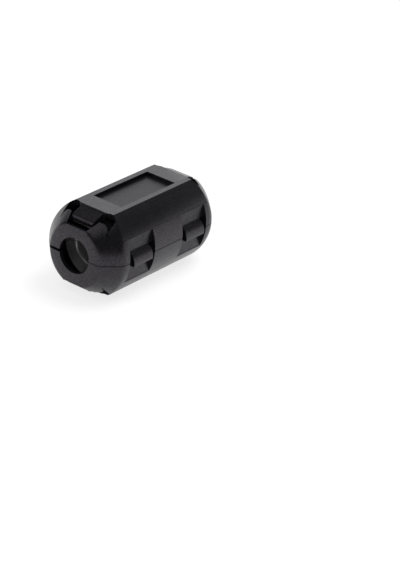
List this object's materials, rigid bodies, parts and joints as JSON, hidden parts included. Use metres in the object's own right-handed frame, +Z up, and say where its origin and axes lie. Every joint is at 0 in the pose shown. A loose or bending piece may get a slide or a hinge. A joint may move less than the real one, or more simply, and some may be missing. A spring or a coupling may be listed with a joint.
{
  "type": "clip on ferrite bead",
  "caption": "Black barrel-shaped clip-on ferrite bead: two hinged plastic case halves with snap latches hold ferrite half shells round a cable bore to suppress interference.",
  "frame": {"origin": "centre of the cable bore", "axes": "+X along the cable bore, +Z up through the flat with the label recess, +Y towards the hinge, -Y towards the latches"},
  "size_m": [0.042, 0.0259, 0.021],
  "materials": {
    "lower_case": "black moulded nylon, fine satin texture",
    "upper_case": "black moulded nylon, fine satin texture",
    "lower_ferrite": "dark grey sintered ferrite, matte with a ground parting face",
    "upper_ferrite": "dark grey sintered ferrite, matte with a ground parting face"
  },
  "bodies": {
    "lower_half": {"lower_case": "lower_case", "lower_ferrite": "lower_ferrite"},
    "upper_half": {"upper_case": "upper_case", "upper_ferrite": "upper_ferrite"}
  },
  "joints": [
    {"name": "case_hinge", "type": "hinge", "parent": "lower_half", "child": "upper_half", "pos_m": [0, 0.0125, 0], "axis": [-1, 0, 0], "range_deg": [0, 180]}
  ]
}
